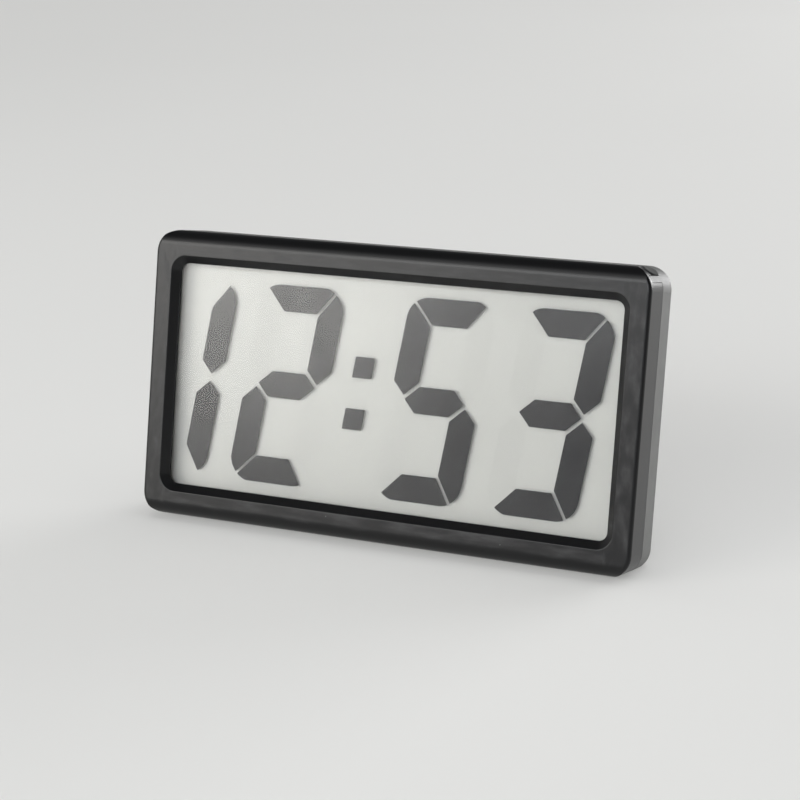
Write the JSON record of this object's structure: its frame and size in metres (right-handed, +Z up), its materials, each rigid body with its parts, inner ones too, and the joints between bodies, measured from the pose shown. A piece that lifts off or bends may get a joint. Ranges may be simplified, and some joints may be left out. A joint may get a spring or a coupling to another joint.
{
  "type": "desk clock",
  "caption": "Slim rectangular desk clock that leans back slightly: black frame round a large liquid-crystal display, rear buttons, coin-cell door and a fold-out leg.",
  "frame": {"origin": "middle of the footprint's bounding box, on the surface that the clock stands on", "axes": "+X to the right as the display is read, +Y to the back, +Z up"},
  "size_m": [0.0934, 0.0216, 0.0513],
  "materials": {
    "bezel_black": "satin moulded, near black",
    "cover_grey": "finely textured, dark grey",
    "clear_lens": "clear acrylic",
    "foam_black": "closed-cell foam",
    "polariser_film": "clear film with a faint grey tint",
    "display_glass": "clear",
    "seal_glue": "cured glue",
    "dark_crystal": "dark grey, as switched on",
    "faint_crystal": "almost clear, as switched off",
    "silver_film": "diffuse silver film",
    "holder_white": "plain moulded",
    "zebra_rubber": "layered conductive rubber",
    "board_green": "solder mask over glass laminate",
    "epoxy_black": "cured drop",
    "crystal_can": "drawn can",
    "chip_ceramic": "tinned ends",
    "switch_steel": "stamped cover",
    "plunger_black": "plain moulded",
    "button_grey": "satin moulded",
    "cell_steel": "plated can",
    "contact_nickel": "plated spring strip"
  },
  "bodies": {
    "case": {"front_bezel": "bezel_black", "rear_cover": "cover_grey", "window_lens": "clear_lens", "lens_gasket": "foam_black", "front_polariser": "polariser_film", "front_glass": "display_glass", "display_seal": "seal_glue", "display_segments": "dark_crystal", "unlit_segments": "faint_crystal", "rear_glass": "display_glass", "rear_reflector": "silver_film", "display_holder": "holder_white", "elastomer_connector": "zebra_rubber", "circuit_board": "board_green", "controller_blob": "epoxy_black", "quartz_crystal": "crystal_can", "chip_components": "chip_ceramic", "switch_bodies": "switch_steel", "coin_cell": "cell_steel", "battery_contact_positive": "contact_nickel", "battery_contact_negative": "contact_nickel"},
    "set_key": {"set_button": "button_grey", "set_switch_plunger": "plunger_black"},
    "adjust_key": {"adjust_button": "button_grey", "adjust_switch_plunger": "plunger_black"},
    "door": {"battery_door": "cover_grey"},
    "leg": {"stand": "cover_grey"}
  },
  "joints": [
    {"name": "stand_fold", "type": "hinge", "parent": "case", "child": "leg", "pos_m": [0, 0.00394, 0.02099], "axis": [1, 0, 0], "range_deg": [-20, 0]},
    {"name": "door_turn", "type": "hinge", "parent": "case", "child": "door", "pos_m": [0, 0.00742, 0.03568], "axis": [0, 0.9781, -0.2079], "range_deg": [0, 45]},
    {"name": "set_press", "type": "slide", "parent": "case", "child": "set_key", "axis": [0, -0.9781, 0.2079], "range_m": [0, 0.0003], "stiffness_N_per_m": 4000},
    {"name": "adjust_press", "type": "slide", "parent": "case", "child": "adjust_key", "axis": [0, -0.9781, 0.2079], "range_m": [0, 0.0003], "stiffness_N_per_m": 4000}
  ]
}
